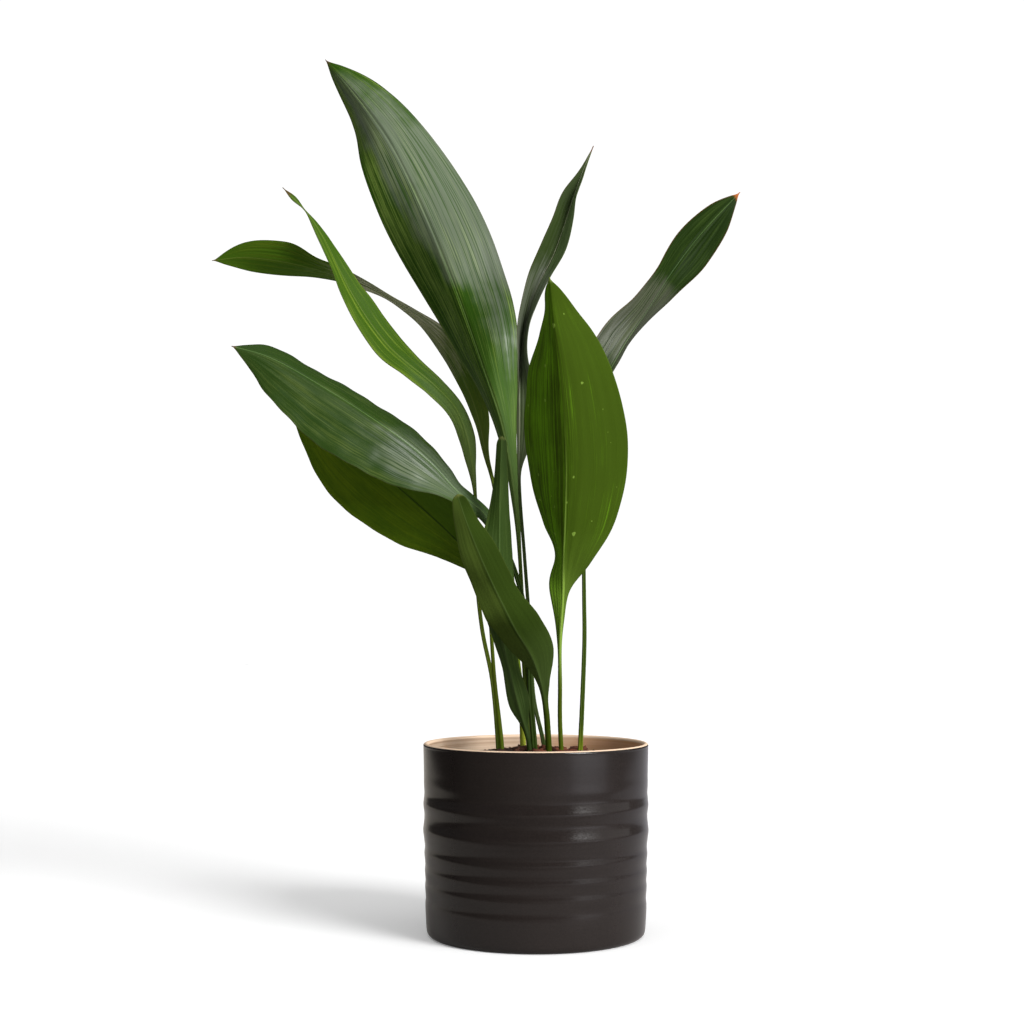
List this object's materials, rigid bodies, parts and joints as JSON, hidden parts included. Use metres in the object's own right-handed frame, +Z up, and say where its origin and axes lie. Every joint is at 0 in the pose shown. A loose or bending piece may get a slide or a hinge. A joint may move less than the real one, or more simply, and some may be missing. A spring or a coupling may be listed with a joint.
{
  "type": "potted cast iron plant",
  "caption": "Cast iron plant with long strap-stalked blades, upright and arching, rising from bark-covered soil in a dark glazed, ridged cylindrical clay pot.",
  "frame": {"origin": "centre of the pot's flat foot, on the surface it stands on", "axes": "+Z up, -Y towards the viewer of the picture, +X to the viewer's right"},
  "size_m": [0.4708, 0.2734, 0.7466],
  "materials": {
    "glazed_clay": "satin charcoal glaze",
    "soil": "dark bark and potting soil, matte",
    "rootstock": "matte, fleshy",
    "leaf_mid": "satin above, matte below",
    "leaf_deep": "satin above, matte below",
    "leaf_bright": "satin",
    "leaf_grey": "satin"
  },
  "bodies": {
    "root": {"pot": "glazed_clay", "soil": "soil", "rootstock": "rootstock", "leaf_tall": "leaf_mid", "leaf_far_left": "leaf_deep", "leaf_slender_left": "leaf_bright", "leaf_left_upper": "leaf_deep", "leaf_left_lower": "leaf_deep", "leaf_front_low": "leaf_mid", "leaf_short_upright": "leaf_mid", "leaf_right_front": "leaf_mid", "leaf_twisted_top": "leaf_grey", "leaf_right_back": "leaf_deep"}
  },
  "joints": []
}
